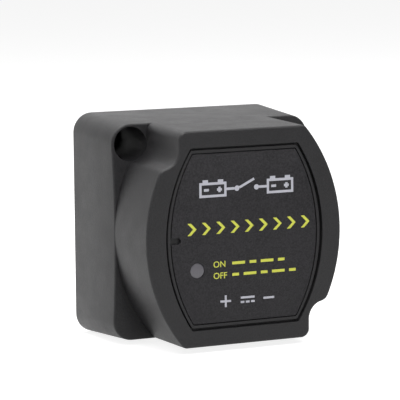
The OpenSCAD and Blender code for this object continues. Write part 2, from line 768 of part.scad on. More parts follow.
// The rod that carries the bridge, with a collar that rests under the yoke
module push_rod() color(zinc) upright() translate([0, stud_y, 0]) rotate_extrude($fn = small_fn) {
    groove_r = rod_r - groove_depth;
    tip = groove_depth;
    polygon([[0, rod_z], [rod_r - tip, rod_z], [rod_r, rod_z + tip],
        [rod_r, bridge_z - clip_t], [groove_r, bridge_z - clip_t], [groove_r, bridge_z],
        [rod_r, bridge_z], [rod_r, collar_z], [collar_r, collar_z], [collar_r, yoke_z],
        [rod_r, yoke_z], [rod_r, plunger_end - 2*plunger_nose], [0, plunger_end - 2*plunger_nose]]);
}

// The clip in the rod's groove that holds the bridge on
module rod_clip() color(zinc) upright() translate([0, stud_y, bridge_z - clip_t]) difference() {
    groove_r = rod_r - groove_depth;
    cylinder(r = clip_r, h = clip_t - press_clear, $fn = small_fn);
    translate([0, 0, -over]) cylinder(r = groove_r + press_clear, h = clip_t + 2*over, $fn = small_fn);
    translate([-groove_r - press_clear, 0, -over]) cube([2*(groove_r + press_clear), clip_r + over, clip_t + 2*over]);
}

// A compression spring as one tube along a helix, from z0 to z1
module coil_spring(r, z0, z1, turns) {
    count = turns*turn_steps;
    rise = (z1 - z0 - 2*wire_r)/count;
    rings = [for (k = [0:count]) let (a = 360*k/turn_steps) [for (j = [0:wire_sides - 1])
        let (b = 360*j/wire_sides, d = r + wire_r*cos(b))
        [d*cos(a), d*sin(a), z0 + wire_r + k*rise + wire_r*sin(b)]]];
    sides = [for (k = [0:count - 1], j = [0:wire_sides - 1])
        let (a = k*wire_sides + j, b = k*wire_sides + (j + 1)%wire_sides)
        each [[a, b + wire_sides, b], [a, a + wire_sides, b + wire_sides]]];
    polyhedron(points = [for (ring = rings) each ring], faces = concat(sides,
        [[for (j = [0:wire_sides - 1]) j]],
        [[for (j = [wire_sides - 1:-1:0]) count*wire_sides + j]]));
}

module return_spring() color(zinc) upright() translate([0, stud_y, 0])
    coil_spring(spring_r, core_z - spring_seat + spring_clear, plunger_z + plunger_seat - spring_clear, spring_turns);

module contact_spring() color(zinc) upright() translate([0, stud_y, 0])
    coil_spring(spring_r, bridge_z + bridge_t + spring_clear, collar_z - spring_clear, spring_turns/2);

// The bridge that joins the two studs when the coil pulls
module contact_bridge() color(copper) upright() translate([0, stud_y, bridge_z]) difference() {
    reach = stud_x + tip_r + bridge_end;
    waist = bridge_w/2 - bridge_end;
    linear_extrude(bridge_t) polygon([[-reach, -waist + bridge_end], [-reach + bridge_end, -waist],
        [-stud_x + tip_r, -waist], [-clip_r, -bridge_w/2], [clip_r, -bridge_w/2], [stud_x - tip_r, -waist],
        [reach - bridge_end, -waist], [reach, -waist + bridge_end], [reach, waist - bridge_end],
        [reach - bridge_end, waist], [stud_x - tip_r, waist], [clip_r, bridge_w/2], [-clip_r, bridge_w/2],
        [-stud_x + tip_r, waist], [-reach + bridge_end, waist], [-reach, waist - bridge_end]]);
    translate([0, 0, -over]) cylinder(r = rod_r + rod_clear, h = bridge_t + 2*over, $fn = small_fn);
}

module bridge_contacts() color(silver) upright() for (s = [-1, 1])
    translate([s*stud_x, stud_y, bridge_tip_z]) cylinder(r = tip_r, h = tip_t, $fn = small_fn);

housing();
face_plate();
status_lens();
terminal_base();
base_seal();
base_screws();
terminal_stud(-1);  // terminal_stud_left
terminal_stud(1);  // terminal_stud_right
terminal_washer(-1);  // terminal_washer_left
terminal_washer(1);  // terminal_washer_right
spring_washer(-1);  // spring_washer_left
spring_washer(1);  // spring_washer_right
terminal_nut(-1);  // terminal_nut_left
terminal_nut(1);  // terminal_nut_right
fixed_contact(-1);  // fixed_contact_left
fixed_contact(1);  // fixed_contact_right
sense_strip(-1);  // sense_strip_left
sense_strip(1);  // sense_strip_right
earth_tab();
circuit_board();
control_chip();
smoothing_capacitor();
driver_transistor();
flyback_diode();
resistors();
status_led();
board_screws();
coil_bobbin();
coil_winding();
coil_pins();
yoke_frame();
yoke_plate();
fixed_core();
plunger();
push_rod();
rod_clip();
return_spring();
contact_bridge();
bridge_contacts();
contact_spring();
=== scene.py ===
"""Looks of a battery isolator relay: a black moulded case, its panel, its terminals and its works."""

from __future__ import annotations

import logging
import math
from dataclasses import dataclass, field
from enum import Enum
from typing import Sequence, Union

import bmesh
import bpy
from mathutils import Matrix, Vector


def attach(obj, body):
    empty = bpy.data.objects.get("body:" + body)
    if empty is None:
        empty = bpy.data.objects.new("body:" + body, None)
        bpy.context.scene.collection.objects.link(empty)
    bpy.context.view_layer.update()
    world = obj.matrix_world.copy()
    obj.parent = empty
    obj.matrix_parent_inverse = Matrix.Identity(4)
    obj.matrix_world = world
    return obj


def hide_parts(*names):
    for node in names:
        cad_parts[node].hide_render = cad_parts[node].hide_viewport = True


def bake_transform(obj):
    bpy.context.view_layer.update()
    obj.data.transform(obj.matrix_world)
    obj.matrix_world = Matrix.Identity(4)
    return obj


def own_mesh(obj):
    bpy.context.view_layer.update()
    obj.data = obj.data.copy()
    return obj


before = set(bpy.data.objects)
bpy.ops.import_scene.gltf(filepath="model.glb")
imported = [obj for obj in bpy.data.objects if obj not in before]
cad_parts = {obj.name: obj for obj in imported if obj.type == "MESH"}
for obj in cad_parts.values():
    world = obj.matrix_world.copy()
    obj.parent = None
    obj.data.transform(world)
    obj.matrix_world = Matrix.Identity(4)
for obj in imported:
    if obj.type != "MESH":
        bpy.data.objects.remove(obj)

LOG = logging.getLogger("relay")
MM = 0.001
STAND_UP = Matrix.Scale(MM, 4) @ Matrix.Rotation(math.pi / 2, 4, "X")
AWAY = 1000.0  # how far a new ring is first moved off the others, in millimetres
OVER = 1.0  # how far a cutting body runs past what it cuts, in millimetres
FINE, ROUND, SMALL, TINY = 96, 64, 48, 32  # sides of round pieces, from the largest to the smallest

Point = tuple[float, float]
Outline = list[Point]
Value = Union["Signal", float]
Colour = tuple[float, float, float]


class Signal:
    """A socket of a node sheet that takes part in plain arithmetic."""

    def __init__(self, sheet: "NodeSheet", socket: bpy.types.NodeSocket) -> None:
        """Keeps the socket and the sheet that it belongs to."""
        self.sheet = sheet
        self.socket = socket

    def _with(self, operation: str, other: Value) -> "Signal":
        """Adds one Math node.

        Args:
            operation: The Math node's operation.
            other: The second value or signal.

        Returns:
            The node's result.
        """
        return self.sheet.node("ShaderNodeMath", {"operation": operation}, {0: self, 1: other})

    def __add__(self, other: Value) -> "Signal":
        """Adds a value or signal."""
        return self._with("ADD", other)

    def __mul__(self, other: Value) -> "Signal":
        """Multiplies by a value or signal."""
        return self._with("MULTIPLY", other)

    def __sub__(self, other: Value) -> "Signal":
        """Takes a value or signal away."""
        return self._with("SUBTRACT", other)

    def most(self, other: Value) -> "Signal":
        """Gives the greater of this signal and another."""
        return self._with("MAXIMUM", other)


class NodeSheet:
    """The node tree of one material or of the world."""

    def __init__(self, tree: bpy.types.NodeTree) -> None:
        """Clears the tree and keeps it."""
        self.tree = tree
        self.tree.nodes.clear()

    def node(
        self,
        kind: str,
        settings: dict[str, object] | None = None,
        values: dict[int | str, object] | None = None,
        output: int | str = 0,
    ) -> Signal:
        """Adds a node of any type.

        Args:
            kind: The node's type name.
            settings: Properties set first.
            values: Values, signals or shaders for its inputs.
            output: The output that is returned.

        Returns:
            The chosen output.
        """
        made = self.tree.nodes.new(kind)
        for name, value in (settings or {}).items():
            setattr(made, name, value)
        for name, value in (values or {}).items():
            if isinstance(value, Signal):
                self.tree.links.new(value.socket, made.inputs[name])
            elif isinstance(value, tuple) and made.inputs[name].type == "RGBA":
                made.inputs[name].default_value = (*value, 1.0)
            else:
                made.inputs[name].default_value = value
        return Signal(self, made.outputs[output])

    def place(self) -> Signal:
        """Gives the Object coordinates."""
        return self.node("ShaderNodeTexCoord", output="Object")

    def noise(self, size_mm: float, detail: float = 2.0, stretch: tuple[float, float, float] | None = None) -> Signal:
        """Adds noise with blotches of a given size.

        Args:
            size_mm: Size of a blotch.
            detail: Octaves of finer noise.
            stretch: Scale along each axis, for brushed or drawn surfaces.

        Returns:
            A value around 0.5.
        """
        where = self.place()
        if stretch:
            where = self.node("ShaderNodeMapping", values={"Vector": where, "Scale": stretch})
        return self.node("ShaderNodeTexNoise", values={"Vector": where, "Scale": 1 / (size_mm * MM), "Detail": detail})

    def tint(self, amount: Value, low: Colour, high: Colour) -> Signal:
        """Mixes two colours by an amount from 0 to 1."""
        return self.node("ShaderNodeMix", {"data_type": "RGBA"}, {0: amount, 6: low, 7: high}, output=2)

    def bump(self, height: Value, depth_mm: float) -> Signal:
        """Turns a height into a normal.

        Args:
            height: The height signal, from 0 to 1.
            depth_mm: Depth of the relief at height 1.

        Returns:
            The normal.
        """
        return self.node("ShaderNodeBump", values={"Height": height, "Distance": depth_mm * MM, "Strength": 1.0})

    def finish(self, shader: Signal, target: str = "ShaderNodeOutputMaterial") -> None:
        """Links the shader to the output."""
        made = self.tree.nodes.new(target)
        self.tree.links.new(shader.socket, made.inputs["Surface"])


@dataclass(frozen=True)
class Finish:
    """A surface finish: colour, gloss and the relief of its skin."""

    name: str
    dark: Colour
    light: Colour
    roughness: float
    roughness_swing: float = 0.08
    metallic: float = 0.0
    mottle_mm: float = 6.0
    grain_mm: float = 0.3
    grain_depth_mm: float = 0.01
    stretch: tuple[float, float, float] | None = None
    coat: float = 0.0
    transmission: float = 0.0
    specular: float = 0.5
    speckle: float = 0.6
    fine_ratio: float = 2.5
    fine_share: float = 0.35
    coat_roughness: float = 0.15

    def material(self) -> bpy.types.Material:
        """Makes the material, once."""
        known = bpy.data.materials.get(self.name)
        if known:
            return known
        made = bpy.data.materials.new(self.name)
        made.use_nodes = True
        sheet = NodeSheet(made.node_tree)
        mottle = sheet.noise(self.mottle_mm, 3.0)
        grain = sheet.noise(self.grain_mm, 2.0, self.stretch)
        fine = sheet.noise(self.grain_mm / self.fine_ratio, 1.0, self.stretch)
        relief = grain * (1 - self.fine_share) + fine * self.fine_share
        colour = sheet.tint(mottle * 0.5 + (grain - 0.5) * self.speckle + 0.25, self.dark, self.light)
        swing = self.roughness_swing
        rough = (mottle - 0.5) * swing + self.roughness + (grain - 0.5) * swing
        values: dict[int | str, object] = {
            "Base Color": colour,
            "Roughness": rough,
            "Metallic": self.metallic,
            "Coat Weight": self.coat,
            "Coat Roughness": self.coat_roughness,
            "Transmission Weight": self.transmission,
            "Specular IOR Level": self.specular,
            "Normal": sheet.bump(relief, self.grain_depth_mm),
        }
        sheet.finish(sheet.node("ShaderNodeBsdfPrincipled", values=values))
        return made

    def dress(self, piece: bpy.types.Object) -> None:
        """Gives the finish to all of a piece."""
        piece.data.materials.clear()
        piece.data.materials.append(self.material())


class Finishes(Enum):
    """Every finish of the relay."""

    CASE = Finish(
        "case plastic", (0.0090, 0.0086, 0.0094), (0.0190, 0.0184, 0.0198), 0.47, 0.2,
        grain_mm=0.45, grain_depth_mm=0.12, specular=0.34, speckle=2.0,
    )
    PANEL = Finish(
        "panel plastic", (0.0080, 0.0074, 0.0086), (0.0260, 0.0246, 0.0275), 0.50, 0.3,
        grain_mm=0.46, grain_depth_mm=0.2, specular=0.25, speckle=2.4,
    )
    BASE = Finish(
        "base plastic", (0.0090, 0.0090, 0.0095), (0.0140, 0.0140, 0.0148), 0.5, 0.08, grain_depth_mm=0.012
    )
    LENS = Finish(
        "smoke lens", (0.11, 0.105, 0.12), (0.14, 0.135, 0.15), 0.32, 0.05,
        grain_mm=0.5, grain_depth_mm=0.004, coat=0.2, transmission=0.15,
    )
    SILVER_INK = Finish(
        "silver ink", (0.42, 0.42, 0.47), (0.52, 0.52, 0.58), 0.5, 0.1,
        mottle_mm=1.2, grain_mm=0.2, grain_depth_mm=0.006,
    )
    YELLOW_INK = Finish(
        "yellow ink", (0.56, 0.58, 0.06), (0.66, 0.68, 0.10), 0.5, 0.1,
        mottle_mm=1.2, grain_mm=0.2, grain_depth_mm=0.006,
    )
    BRASS = Finish("turned brass", (0.58, 0.40, 0.13), (0.74, 0.54, 0.22), 0.28, 0.12, 1.0, 2.0, 0.25, 0.004, (1, 6, 1))
    ZINC = Finish("zinc plate", (0.52, 0.54, 0.58), (0.68, 0.70, 0.74), 0.32, 0.14, 1.0, 1.6, 0.2, 0.004)
    STEEL = Finish("rolled steel", (0.30, 0.31, 0.33), (0.42, 0.43, 0.45), 0.42, 0.16, 1.0, 3.0, 0.3, 0.006, (8, 1, 1))
    COPPER = Finish("bare copper", (0.68, 0.30, 0.16), (0.84, 0.42, 0.26), 0.3, 0.14, 1.0, 2.0, 0.25, 0.004, (8, 1, 1))
    ENAMEL = Finish(
        "enamelled copper", (0.36, 0.09, 0.03), (0.50, 0.15, 0.05), 0.3, 0.1, 0.35, 2.0, 0.2, 0.004, coat=0.6
    )
    SILVER = Finish("silver contact", (0.72, 0.72, 0.72), (0.84, 0.84, 0.84), 0.26, 0.1, 1.0, 1.2, 0.2, 0.003)
    NYLON = Finish("natural nylon", (0.62, 0.57, 0.46), (0.72, 0.67, 0.56), 0.42, grain_mm=0.4)
    RUBBER = Finish("seal rubber", (0.012, 0.012, 0.012), (0.022, 0.022, 0.022), 0.78, 0.1, grain_depth_mm=0.02)
    EPOXY = Finish("chip epoxy", (0.014, 0.014, 0.015), (0.024, 0.024, 0.026), 0.5, 0.1, grain_mm=0.15)
    MASK = Finish(
        "board mask", (0.008, 0.085, 0.030), (0.014, 0.130, 0.045), 0.26, 0.1,
        mottle_mm=2.5, grain_mm=0.6, grain_depth_mm=0.008, coat=0.4,
    )
    SLEEVE = Finish(
        "can sleeve", (0.012, 0.018, 0.060), (0.020, 0.028, 0.085), 0.3,
        grain_mm=0.5, grain_depth_mm=0.006, coat=0.3,
    )
    LACQUER = Finish(
        "resistor lacquer", (0.20, 0.36, 0.46), (0.28, 0.46, 0.56), 0.3,
        mottle_mm=1.0, grain_mm=0.2, grain_depth_mm=0.006, coat=0.4,
    )
    RESIN = Finish(
        "red resin", (0.45, 0.02, 0.01), (0.60, 0.04, 0.02), 0.12, 0.04,
        grain_mm=0.4, grain_depth_mm=0.002, coat=0.5, transmission=0.5,
    )


class Bench:
    """One piece under work, in millimetres: x right, y up, z from the wall to the face."""

    def __init__(self, made: bpy.types.Object, name: str) -> None:
        """Keeps the object and names it."""
        self.made = made
        made.name = name
        made.data.name = name

    @staticmethod
    def clear() -> None:
        """Deselects everything, in object mode."""
        if bpy.context.object and bpy.context.object.mode != "OBJECT":
            bpy.ops.object.mode_set(mode="OBJECT")
        bpy.ops.object.select_all(action="DESELECT")

    @classmethod
    def block(cls, name: str, low: Sequence[float], high: Sequence[float]) -> "Bench":
        """Makes a box from its lowest to its highest corner."""
        cls.clear()
        low_v, high_v = Vector(low), Vector(high)
        bpy.ops.mesh.primitive_cube_add(size=1, location=(low_v + high_v) / 2, scale=high_v - low_v)
        return cls(bpy.context.object, name).settle()

    @classmethod
    def rod(
        cls,
        name: str,
        radius: float,
        foot: Sequence[float],
        length: float,
        sides: int = ROUND,
        tip: float | None = None,
        along_y: bool = False,
    ) -> "Bench":
        """Makes a round rod or cone.

        Args:
            name: The piece's name.
            radius: Radius at the foot.
            foot: Middle of its lower end.
            length: Length.
            sides: Sides of the round.
            tip: Radius at the other end, where it differs.
            along_y: True where it runs along y and not along z.

        Returns:
            The rod.
        """
        cls.clear()
        foot_v = Vector(foot)
        way = Vector((0, 1, 0)) if along_y else Vector((0, 0, 1))
        bpy.ops.mesh.primitive_cone_add(
            vertices=sides,
            radius1=radius,
            radius2=radius if tip is None else tip,
            depth=length,
            location=foot_v + way * length / 2,
            rotation=(-math.pi / 2, 0, 0) if along_y else (0, 0, 0),
        )
        return cls(bpy.context.object, name).settle()

    @classmethod
    def loft(cls, name: str, rings: Sequence[tuple[float, Outline]]) -> "Bench":
        """Extrudes a flat outline through further ones with as many points.

        Args:
            name: The piece's name.
            rings: Height and outline of each ring, from the lowest up.

        Returns:
            The closed body.
        """
        cls.clear()
        first_z, first = rings[0]
        bpy.ops.mesh.primitive_circle_add(vertices=len(first), radius=1, fill_type="NGON")
        piece = cls(bpy.context.object, name)
        for vertex, (x, y) in zip(piece.made.data.vertices, first):
            vertex.co = (x, y, first_z)
        bpy.ops.object.mode_set(mode="EDIT")
        bpy.ops.mesh.select_all(action="SELECT")
        before = list(first)
        height = first_z
        for z, outline in rings[1:]:
            bpy.ops.mesh.extrude_region_move(TRANSFORM_OT_translate={"value": (0, 0, z - height + AWAY)})
            mesh = bmesh.from_edit_mesh(piece.made.data)
            for vertex in mesh.verts:
                if vertex.select:
                    nearest = min(range(len(before)), key=lambda i: math.dist(before[i], vertex.co.xy))
                    vertex.co = (*outline[nearest], z)
            bmesh.update_edit_mesh(piece.made.data)
            before, height = list(outline), z
        bpy.ops.mesh.select_all(action="SELECT")
        bpy.ops.mesh.normals_make_consistent(inside=False)
        bpy.ops.object.mode_set(mode="OBJECT")
        return piece

    def settle(self) -> "Bench":
        """Puts the object's place and scale into its mesh."""
        self.clear()
        self.made.select_set(True)
        bpy.context.view_layer.objects.active = self.made
        bpy.ops.object.transform_apply(location=True, rotation=True, scale=True)
        return self

    def _boolean(self, other: "Bench", operation: str) -> "Bench":
        """Applies one boolean with another piece, which is used up."""
        self.clear()
        bpy.context.view_layer.objects.active = self.made
        modifier = self.made.modifiers.new("solid", "BOOLEAN")
        modifier.operation = operation
        modifier.solver = "EXACT"
        modifier.object = other.made
        bpy.ops.object.modifier_apply(modifier=modifier.name)
        bpy.data.objects.remove(other.made)
        return self

    def cut(self, *others: "Bench") -> "Bench":
        """Cuts other pieces out of this one."""
        for other in others:
            self._boolean(other, "DIFFERENCE")
        return self

    def weld(self, *others: "Bench") -> "Bench":
        """Joins other pieces to this one as one solid."""
        for other in others:
            self._boolean(other, "UNION")
        return self

    def gather(self, *others: "Bench") -> "Bench":
        """Puts other pieces beside this one in one mesh."""
        self.clear()
        for other in (self, *others):
            other.made.select_set(True)
        bpy.context.view_layer.objects.active = self.made
        bpy.ops.object.join()
        return self

    def finish(
        self, body: str, slot: str, finish: Finishes, *replaced: str, smooth_deg: float = 34.0
    ) -> bpy.types.Object:
        """Stands the piece up in the frame, dresses it and hides the nodes that it stands for.

        Args:
            body: The body that it rides on.
            slot: The record's material slot; not used.
            finish: Its finish.
            replaced: The nodes that it stands for.
            smooth_deg: Edges sharper than this stay crisp.

        Returns:
            The finished object.
        """
        self.clear()
        self.made.data.transform(STAND_UP)
        self.made.select_set(True)
        bpy.context.view_layer.objects.active = self.made
        bpy.ops.object.shade_smooth_by_angle(angle=math.radians(smooth_deg))
        finish.value.dress(self.made)
        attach(self.made, body)
        if replaced:
            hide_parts(*replaced)
        LOG.info("%s: %d faces", self.made.name, len(self.made.data.polygons))
        return self.made


def arc(mid: Point, radius: float, start: float, end: float, steps: int) -> Outline:
    """Gives the points of an arc, both ends included.

    Args:
        mid: Middle of the arc.
        radius: Its radius.
        start: First angle, in degrees.
        end: Last angle, in degrees.
        steps: How many steps between them.

    Returns:
        steps + 1 points.
    """
    turns = [math.radians(start + (end - start) * k / steps) for k in range(steps + 1)]
    return [(mid[0] + radius * math.cos(a), mid[1] + radius * math.sin(a)) for a in turns]


def turned(half: Outline) -> Outline:
    """Completes a half outline by its half turn."""
    return half + [(-x, -y) for x, y in half]


@dataclass
class Mould:
    """The moulded case's outlines, all in millimetres."""

    half: float = 34.0
    shelf_half: float = 32.65
    waist: float = 0.7
    face_half: float = 31.95
    base_depth: float = 26.8
    depth: float = 50.0
    corner_r: float = 6.0
    bow_r: float = 48.7
    bow_half: float = 31.85
    crown_r: float = 2.0
    heel_r: float = 3.0
    notch_r: float = 2.6
    hole: float = 26.6
    well_r: float = 5.2
    scallop_r: float = 5.3
    column_r: float = 7.0
    face_round: float = 0.75
    panel_margin: float = 6.2
    panel_half: float = 26.95
    panel_step: float = 0.5
    band: float = 1.6
    panel_r: float = 0.9
    lens: Point = (-15.5, -9.2)
    front_steps: tuple[int, ...] = (28, 6, 8, 24, 8, 20)
    panel_steps: tuple[int, int] = (24, 8)
    side_steps: int = 8

    @property
    def bow_off(self) -> float:
        """How far the middle of a bow lies beyond the case's middle."""
        return self.bow_r - self.bow_half

    @property
    def notch_x(self) -> float:
        """Where the straight side of the notch over the well stands."""
        return self.hole - self.scallop_r

    def top_at(self, z: float) -> float:
        """Height of the flat top above the middle at a depth."""
        if z <= self.base_depth:
            return self.half + (self.shelf_half - self.half) * z / self.base_depth
        share = (z - self.base_depth) / (self.depth - self.base_depth)
        return self.shelf_half + (self.face_half - self.shelf_half) * share

    def crown(self, bow_r: float, off: float, half_h: float, radius: float) -> Point:
        """Gives the middle of the rounding between a right bow and a top.

        Args:
            bow_r: Radius of the bow.
            off: How far the bow's middle lies beyond the case's middle.
            half_h: Height of the top above the middle.
            radius: Radius of the rounding.

        Returns:
            The rounding's middle.
        """
        y = half_h - radius
        return (math.sqrt((bow_r - radius) ** 2 - y * y) - off, y)

    def heel(self) -> Point:
        """Middle of the rounding between the left scallop and the left bow."""
        bow, well = Vector((self.bow_off, 0)), Vector((-self.hole, self.hole))
        near, far = self.bow_r - self.heel_r, self.scallop_r + self.heel_r
        apart = (well - bow).length
        along = (well - bow) / apart
        step = (near * near - far * far + apart * apart) / (2 * apart)
        rise = math.sqrt(near * near - step * step)
        found = bow + along * step + Vector((-along.y, along.x)) * rise
        return (found.x, found.y)

    def front(self, inset: float, z: float) -> Outline:
        """Gives the outline of the bowed front section.

        Args:
            inset: How far it is moved in, for the rounding of the face.
            z: Depth, which sets the height of the flat top.

        Returns:
            The points of the ring.
        """
        top = self.top_at(z)
        heel = self.heel()
        crown = self.crown(self.bow_r - inset, self.bow_off, top - inset, self.crown_r - inset)
        lean = math.degrees(math.atan2(crown[1], crown[0] + self.bow_off))
        into = math.degrees(math.atan2(heel[1] - self.hole, heel[0] + self.hole))
        out = math.degrees(math.atan2(heel[1], heel[0] - self.bow_off))
        right, crest, notch, well, foot, left = self.front_steps
        half = arc((-self.bow_off, 0), self.bow_r - inset, 0, lean, right)
        half += arc(crown, self.crown_r - inset, lean, 90, crest)[1:]
        corner = (self.notch_r - self.notch_x, top - self.notch_r)
        half += arc(corner, self.notch_r - inset, 90, 180, notch)
        half += arc((-self.hole, self.hole), self.scallop_r + inset, 0, into, well)
        half += arc(heel, self.heel_r - inset, into + 180, out, foot)[1:]
        half += arc((self.bow_off, 0), self.bow_r - inset, out, 180, left)[1:-1]
        return turned(half)

    def square(self, half: float, radius: float, waist: float = 0.0, steps: int = 12) -> Outline:
        """Gives a square with rounded corners, its left and right sides waisted.

        Args:
            half: Half its width.
            radius: Radius of its corners.
            waist: How far the sides are drawn in at their middle.
            steps: Steps of each corner.

        Returns:
            The points of the ring.
        """
        flat = half - radius

        def side(y: float) -> float:
            """Gives how far out the side stands at a height."""
            return half - waist * (1 - (y / flat) ** 2)

        ways = [flat * k / self.side_steps for k in range(self.side_steps)]
        outline = [(side(y), y) for y in ways] + arc((flat, flat), radius, 0, 90, steps)
        outline += arc((-flat, flat), radius, 90, 180, steps) + [(-side(y), y) for y in reversed(ways[1:])]
        return turned(outline)

    def bowed(self, inset: float, half_h: float, radius: float, even: bool = False) -> Outline:
        """Gives the shape between two bows, cut off above and below.

        Args:
            inset: Distance in from the case's bows at their middle.
            half_h: Half its height.
            radius: Rounding of its corners.
            even: True for an even wall, False for bows of the case's own radius.

        Returns:
            The points of the ring.
        """
        bow_r = self.bow_r - inset if even else self.bow_r
        off = bow_r - self.bow_half + inset
        crown = self.crown(bow_r, off, half_h, radius)
        lean = math.degrees(math.atan2(crown[1], crown[0] + off))
        bow, corner = self.panel_steps
        right = arc((-off, 0), bow_r, 0, lean, bow) + arc(crown, radius, lean, 90, corner)[1:]
        return turned(right + [(-x, y) for x, y in reversed(right[1:])])


@dataclass
class Housing:
    """The moulded case, with its wells, its inner walls and its bosses."""

    mould: Mould
    edge_round: float = 0.55
    edge_steps: int = 4
    rim_round: float = 0.25
    rim_steps: int = 2
    face_steps: int = 6
    recess_half: float = 31.2
    chamber_half: float = 29.4
    inner_corner: float = 4.4
    wall: float = 2.4
    base_front: float = 17.5
    ledge_z: float = 18.5
    room_z: float = 24.4
    room_end: float = 47.4
    panel_seat: float = 48.6
    groove_w: float = 0.65
    groove_deep: float = 1.0
    ridge_round: float = 0.15
    well_floor: float = 5.0
    hole_r: float = 2.7
    boss_r: float = 3.0
    bosses: tuple[Point, ...] = ((24.5, 24.5), (-24.5, -24.5), (-25.8, 10.0), (25.8, -10.0))
    pilot_r: float = 1.42
    pilot_deep: float = 4.5
    web_in: float = 25.8
    web_out: float = 30.4
    web_y: float = 10.0
    web_half: float = 2.25
    column_wall: float = 1.8
    front_foot: float = 2.0
    room_corner: float = 1.0
    room_reach: float = 40.0
    way_run: float = 17.0
    cable_ways: tuple[tuple[float, float, float], ...] = ((-12.5, 12.5, 11.0), (12.5, 12.5, 11.0), (0.0, 6.0, 6.5))
    board_bosses: tuple[Point, ...] = ((-18.5, 14), (18.5, 14), (-15, -20), (15, -20))
    stand_r: float = 2.6
    stand_z: float = 44.4
    stand_h: float = 3.4
    stand_pilot_r: float = 1.12
    lens_hole_r: float = 2.28

    @property
    def wells(self) -> tuple[Point, Point]:
        """Middles of the two wells."""
        return ((-self.mould.hole, self.mould.hole), (self.mould.hole, -self.mould.hole))

    def quarter(self, radius: float, steps: int) -> list[tuple[float, float]]:
        """Gives inset and drop along a quarter round, from its start to its end."""
        turns = [math.pi / 2 * k / steps for k in range(steps + 1)]
        return [(radius * (1 - math.cos(a)), radius * (1 - math.sin(a))) for a in turns]

    def block(self) -> Bench:
        """Makes the leaning base with soft edges."""
        m = self.mould
        rings = []
        for inset, drop in reversed(self.quarter(self.rim_round, self.rim_steps)):
            rings.append((drop, m.square(m.half - inset, m.corner_r - inset)))
        for inset, drop in self.quarter(self.edge_round, self.edge_steps):
            rings.append((m.base_depth - drop, m.square(m.shelf_half - inset, m.corner_r - inset, m.waist)))
        return Bench.loft("relay_case", rings)

    def front(self) -> Bench:
        """Makes the bowed front section with the soft edge of its face."""
        m = self.mould
        rings = [(z, m.front(0, z)) for z in (m.base_depth - self.front_foot, m.base_depth)]
        for inset, drop in self.quarter(m.face_round, self.face_steps):
            rings.append((m.depth - drop, m.front(inset, m.depth - drop)))
        return Bench.loft("front", rings)

    def columns(self, radius: float, low: float, high: float) -> list[Bench]:
        """Makes a rod round each well."""
        return [Bench.rod("column", radius, (x, y, low), high - low, FINE) for x, y in self.wells]

    def recess(self) -> Bench:
        """Makes the hollow that the base plate lies in."""
        ring = self.mould.square(self.recess_half, self.inner_corner)
        hollow = Bench.loft("recess", [(-OVER, ring), (self.ledge_z, ring)])
        return hollow.cut(*self.columns(self.mould.column_r, -2 * OVER, self.ledge_z + OVER))

    def chamber(self) -> Bench:
        """Makes the hollow behind the shelf."""
        ring = self.mould.square(self.chamber_half, self.inner_corner)
        hollow = Bench.loft("chamber", [(self.ledge_z - OVER, ring), (self.room_z, ring)])
        outer = self.mould.column_r + self.column_wall
        return hollow.cut(*self.columns(outer, self.ledge_z - 2 * OVER, self.room_z + OVER))

    def room(self) -> Bench:
        """Makes the hollow of the front section."""
        m = self.mould
        ring = m.bowed(self.wall, m.face_half - self.wall, self.room_corner, even=True)
        hollow = Bench.loft("room", [(self.room_z - OVER, ring), (self.room_end, ring)])
        foot, end, far = self.room_z - 2 * OVER, self.room_end + OVER, self.room_reach
        hollow.cut(*self.columns(m.scallop_r + self.wall, foot, end))
        side = m.notch_x - self.wall
        for s in (-1, 1):
            low = (min(s * side, s * far), min(-s * m.hole, -s * far), foot)
            high = (max(s * side, s * far), max(-s * m.hole, -s * far), end)
            hollow.cut(Bench.block("corner", low, high))
        return hollow

    def slot(self, x: float, width: float, deep: float) -> list[Bench]:
        """Makes the U-shaped way of a cable through the bottom wall."""
        r, low = width / 2, -self.mould.half - OVER
        round_end = Bench.rod("slot", r, (x, low, deep - r), self.way_run, SMALL, along_y=True)
        return [round_end, Bench.block("slot", (x - r, low, -OVER), (x + r, low + self.way_run, deep - r))]

    def groove(self) -> Bench:
        """Makes the ring that deepens the outer edge of the panel's recess."""
        m = self.mould
        outer = m.bowed(m.panel_margin, m.panel_half, m.panel_r)
        inner = m.bowed(m.panel_margin + self.groove_w, m.panel_half - self.groove_w, m.panel_r)
        worn = self.groove_w + self.ridge_round
        crest = m.bowed(m.panel_margin + worn, m.panel_half - worn, m.panel_r)
        ridge, high = m.depth - m.panel_step, m.depth + OVER
        low = ridge - self.groove_deep
        ring = Bench.loft("groove", [(low, outer), (high, outer)])
        island = [(low - OVER, inner), (ridge - self.ridge_round, inner), (ridge, crest), (high + OVER, crest)]
        return ring.cut(Bench.loft("island", island))

    def stiffen(self, case: Bench) -> None:
        """Adds the screw bosses, their webs and their pilot holes."""
        top = self.room_z + OVER
        for x, y in self.bosses:
            case.weld(Bench.rod("boss", self.boss_r, (x, y, self.base_front), top - self.base_front, SMALL))
        for s in (-1, 1):
            ends = sorted((s * self.web_in, s * self.web_out))
            low = (ends[0], -s * self.web_y - self.web_half, self.ledge_z)
            high = (ends[1], -s * self.web_y + self.web_half, top)
            case.weld(Bench.block("web", low, high))
        for x, y in self.bosses:
            foot = (x, y, self.base_front - OVER)
            case.cut(Bench.rod("pilot", self.pilot_r, foot, self.pilot_deep + OVER, TINY))

